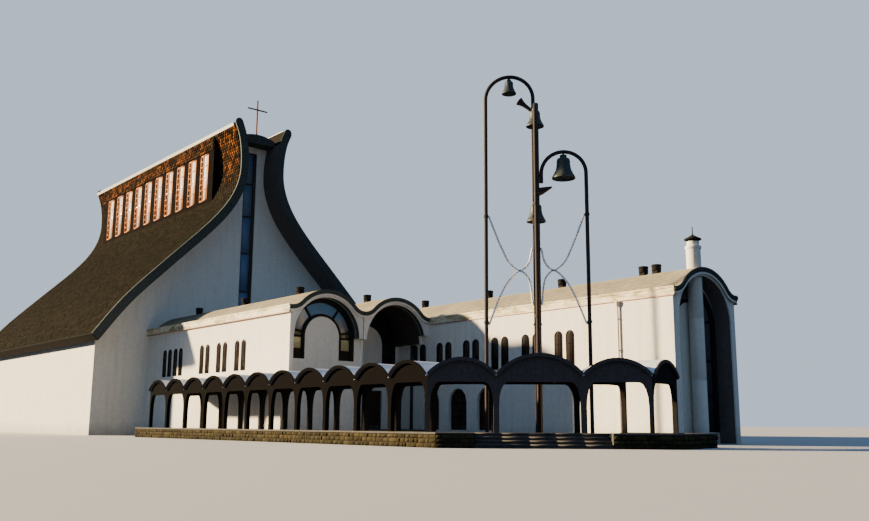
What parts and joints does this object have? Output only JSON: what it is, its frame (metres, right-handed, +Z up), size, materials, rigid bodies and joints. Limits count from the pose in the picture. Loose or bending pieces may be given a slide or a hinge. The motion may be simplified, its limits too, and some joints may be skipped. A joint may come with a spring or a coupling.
{
  "type": "modern church building, scale model 1:2",
  "caption": "Half-size model of a modern church: sweeping shingled nave with a window band, two vaulted wings, a vaulted covered walk and a steel bell tower.",
  "frame": {"origin": "middle of the ground plan at the lowest ground level", "axes": "+X to the right seen from the front, +Y to the back along the nave, +Z up"},
  "size_m": [13.32, 38.0584, 14.3253],
  "materials": {
    "stucco": "painted stucco, matt",
    "shingle": "weathered mineral shingles, matt",
    "scales": "dark weathered wooden scales",
    "dark_trim": "dark brown paint, satin",
    "white_skin": "white roofing skin, matt",
    "dark_glass": "dark tinted glass",
    "red_frame": "warm tinted glass behind red-brown frames",
    "rubble": "tan field stone",
    "concrete": "plain concrete",
    "tower_steel": "dark bronze paint, satin",
    "bronze": "dark green-brown patina",
    "white_steel": "white paint, satin",
    "copper": "orange-red metal, satin"
  },
  "bodies": {
    "root": {"left_wing_side_wall": "stucco", "left_wing_front_wall": "stucco", "arch_hood": "stucco", "porch_left_wall": "stucco", "porch_back_wall": "stucco", "right_wing_left_wall": "stucco", "right_wing_right_wall": "stucco", "right_wing_front_frame": "stucco", "right_wing_end_wall": "stucco", "chimney_stack": "stucco", "gable_front": "stucco", "gable_back": "stucco", "nave_wall_left": "stucco", "nave_wall_right": "stucco", "left_wing_roof": "shingle", "right_wing_roof": "shingle", "nave_roof_left": "scales", "nave_roof_right": "scales", "left_ring_window": "dark_trim", "porch_ring_window": "dark_trim", "entrance_doors": "dark_trim", "courtyard_doors": "dark_trim", "chimney_cap": "dark_trim", "ridge_cap": "dark_trim", "clerestory_left": "dark_trim", "clerestory_right": "dark_trim", "strip_window_front": "dark_trim", "strip_window_back": "dark_trim", "walk_front_frame": "dark_trim", "walk_back_frame": "dark_trim", "gate_front_frame": "dark_trim", "gate_back_frame": "dark_trim", "walk_end_bay": "dark_trim", "walk_vaults": "white_skin", "gate_vaults": "white_skin", "left_wing_glass": "dark_glass", "right_wing_left_glass": "dark_glass", "right_wing_right_glass": "dark_glass", "end_window": "dark_glass", "clerestory_glass_left": "red_frame", "clerestory_glass_right": "red_frame", "walk_plinth": "rubble", "left_wing_floor": "concrete", "porch_floor": "concrete", "right_wing_floor": "concrete", "nave_floor": "concrete", "gate_steps": "concrete", "tower_mast": "tower_steel", "tower_arm_left": "tower_steel", "tower_arm_back": "tower_steel", "tower_arm_right": "tower_steel", "tower_arm_front": "tower_steel", "bell_left": "bronze", "bell_back": "bronze", "bell_right": "bronze", "bell_front": "bronze", "tower_brace_left": "white_steel", "tower_brace_right": "white_steel", "cross": "copper"}
  },
  "joints": []
}
